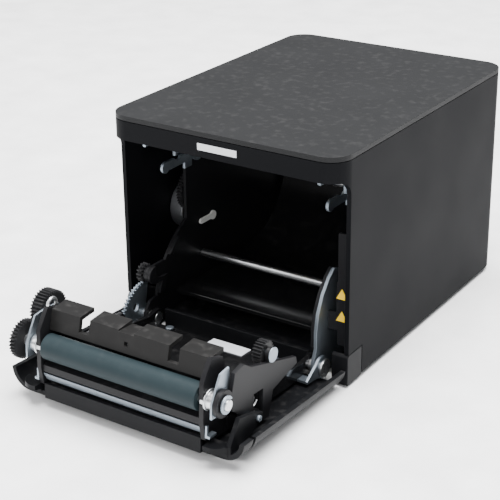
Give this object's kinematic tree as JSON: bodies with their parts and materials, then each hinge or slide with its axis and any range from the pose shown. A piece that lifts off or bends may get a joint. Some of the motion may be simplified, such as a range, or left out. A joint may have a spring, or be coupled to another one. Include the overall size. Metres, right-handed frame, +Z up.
{
  "type": "receipt printer",
  "caption": "Compact cube receipt printer with its front door hinged down, showing the platen unit, feed gears, latch hooks and the empty paper roll bay.",
  "frame": {"origin": "on the table, under the middle of the open printer's bounding box", "axes": "+X to the right seen from the front, +Y from the front door to the back, +Z up"},
  "size_m": [0.125, 0.2512, 0.1125],
  "materials": {
    "case_plastic": "fine textured",
    "top_plastic": "fine textured",
    "door_plastic": "fine textured",
    "black_gloss": "polished moulding",
    "black_plastic": "moulded",
    "grey_plastic": "satin",
    "gear_plastic": "moulded acetal",
    "zinc_steel": "zinc plated",
    "shaft_steel": "ground",
    "platen_rubber": "ground rubber",
    "foot_rubber": "moulded",
    "head_ceramic": "glazed",
    "heatsink": "extruded",
    "motor_can": "plated",
    "brass": "machined",
    "board": "solder mask",
    "yellow_tag": "printed film",
    "pale_tag": "film",
    "pale_badge": "painted",
    "white_plastic": "moulded"
  },
  "bodies": {
    "printer_body": {"base_tray": "door_plastic", "side_case": "case_plastic", "top_plate": "top_plastic", "rubber_feet": "foot_rubber", "base_screws": "zinc_steel", "badge_bar": "pale_badge", "roll_cradle": "black_gloss", "left_side_frame": "black_plastic", "right_side_frame": "zinc_steel", "left_frame_rim": "black_plastic", "right_frame_rim": "black_plastic", "head_cover": "black_plastic", "print_head": "head_ceramic", "head_heatsink": "heatsink", "head_springs": "shaft_steel", "latch_guides": "zinc_steel", "feed_motor": "motor_can", "drive_cover": "black_plastic", "damper_body": "black_plastic", "guide_rod": "shaft_steel", "main_board": "board", "rear_panel": "black_plastic", "power_inlet": "black_plastic", "data_ports": "zinc_steel", "right_bay_panel": "black_plastic", "caution_tags": "yellow_tag", "hinge_pins": "shaft_steel"},
    "latch": {"latch_shaft": "shaft_steel", "latch_hook_left": "zinc_steel", "latch_hook_right": "zinc_steel"},
    "motor_pinion": {"motor_pinion": "brass"},
    "drive_gear": {"drive_gear": "gear_plastic"},
    "damper_gear": {"damper_gear": "gear_plastic"},
    "paper_end_lever": {"paper_end_lever": "white_plastic"},
    "power_switch": {"power_switch": "black_gloss"},
    "door": {"door_cover": "door_plastic", "door_tray": "black_gloss", "tray_screws": "zinc_steel", "platen_frame": "black_plastic", "guide_panel": "grey_plastic", "platen_bearings": "shaft_steel", "idler_stud": "shaft_steel", "tear_strip": "zinc_steel", "lock_plates": "zinc_steel", "wire_bracket": "shaft_steel", "side_bracket": "black_plastic", "lever_spring": "shaft_steel", "cutter_cap": "zinc_steel", "sector_gear": "zinc_steel", "hinge_plate": "zinc_steel", "door_label": "pale_tag"},
    "platen": {"platen_roller": "platen_rubber", "platen_shaft": "shaft_steel", "platen_gear": "gear_plastic", "shaft_clip": "zinc_steel"},
    "idler_gear": {"idler_gear": "gear_plastic"},
    "cutter_gear": {"cutter_gear": "gear_plastic"},
    "cutter_blade": {"cutter_blade": "shaft_steel"},
    "release_lever": {"release_lever": "door_plastic"},
    "feed_button": {"feed_button": "grey_plastic"}
  },
  "joints": [
    {"name": "door_hinge", "type": "hinge", "parent": "printer_body", "child": "door", "pos_m": [0, -0.03656, 0.0084], "axis": [-1, 0, 0], "range_deg": [0, 87]},
    {"name": "latch_swing", "type": "hinge", "parent": "printer_body", "child": "latch", "pos_m": [0, 0.00359, 0.0821], "axis": [1, 0, 0], "range_deg": [0, 8], "stiffness_Nm_per_rad": 0.05},
    {"name": "drive_spin", "type": "hinge", "parent": "printer_body", "child": "drive_gear", "pos_m": [0, 0.00388, 0.06127], "axis": [1, 0, 0], "continuous": true},
    {"name": "motor_spin", "type": "hinge", "parent": "printer_body", "child": "motor_pinion", "pos_m": [0, 0.01051, 0.04979], "axis": [1, 0, 0], "continuous": true},
    {"name": "damper_spin", "type": "hinge", "parent": "printer_body", "child": "damper_gear", "pos_m": [0, -0.03438, 0.02984], "axis": [-1, 0, 0], "range_deg": [-360, 5]},
    {"name": "feeler_swing", "type": "hinge", "parent": "printer_body", "child": "paper_end_lever", "pos_m": [0, 0.01558, 0.044], "axis": [1, 0, 0], "range_deg": [0, 12], "stiffness_Nm_per_rad": 0.002},
    {"name": "power_rocker", "type": "hinge", "parent": "printer_body", "child": "power_switch", "pos_m": [0.033, 0.11578, 0.0195], "axis": [1, 0, 0], "range_deg": [0, 10]},
    {"name": "platen_spin", "type": "hinge", "parent": "door", "child": "platen", "pos_m": [0, -0.11658, 0.02916], "axis": [1, 0, 0], "continuous": true},
    {"name": "idler_spin", "type": "hinge", "parent": "door", "child": "idler_gear", "pos_m": [0, -0.10196, 0.0383], "axis": [1, 0, 0], "continuous": true},
    {"name": "cutter_turn", "type": "hinge", "parent": "door", "child": "cutter_gear", "pos_m": [0, -0.0811, 0.03562], "axis": [1, 0, 0], "range_deg": [0, 181]},
    {"name": "blade_slide", "type": "slide", "parent": "door", "child": "cutter_blade", "axis": [0, -0.9986, 0.0523], "range_m": [0, 0.0065]},
    {"name": "lever_pull", "type": "hinge", "parent": "door", "child": "release_lever", "pos_m": [0.0548, -0.09773, 0.01446], "axis": [1, 0, 0], "range_deg": [0, 5], "stiffness_Nm_per_rad": 0.08, "springref_deg": -5.73},
    {"name": "button_press", "type": "slide", "parent": "door", "child": "feed_button", "axis": [0, 0.0523, 0.9986], "range_m": [0, 0.0006], "stiffness_N_per_m": 600, "springref_m": -0.0006}
  ],
  "couplings": [
    {"joint": "motor_spin", "follows": "drive_spin", "ratio": -3.3333},
    {"joint": "damper_spin", "follows": "door_hinge", "ratio": -4.0714},
    {"joint": "idler_spin", "follows": "platen_spin", "ratio": -1},
    {"joint": "cutter_turn", "follows": "blade_slide", "rad_per_m": 483}
  ]
}
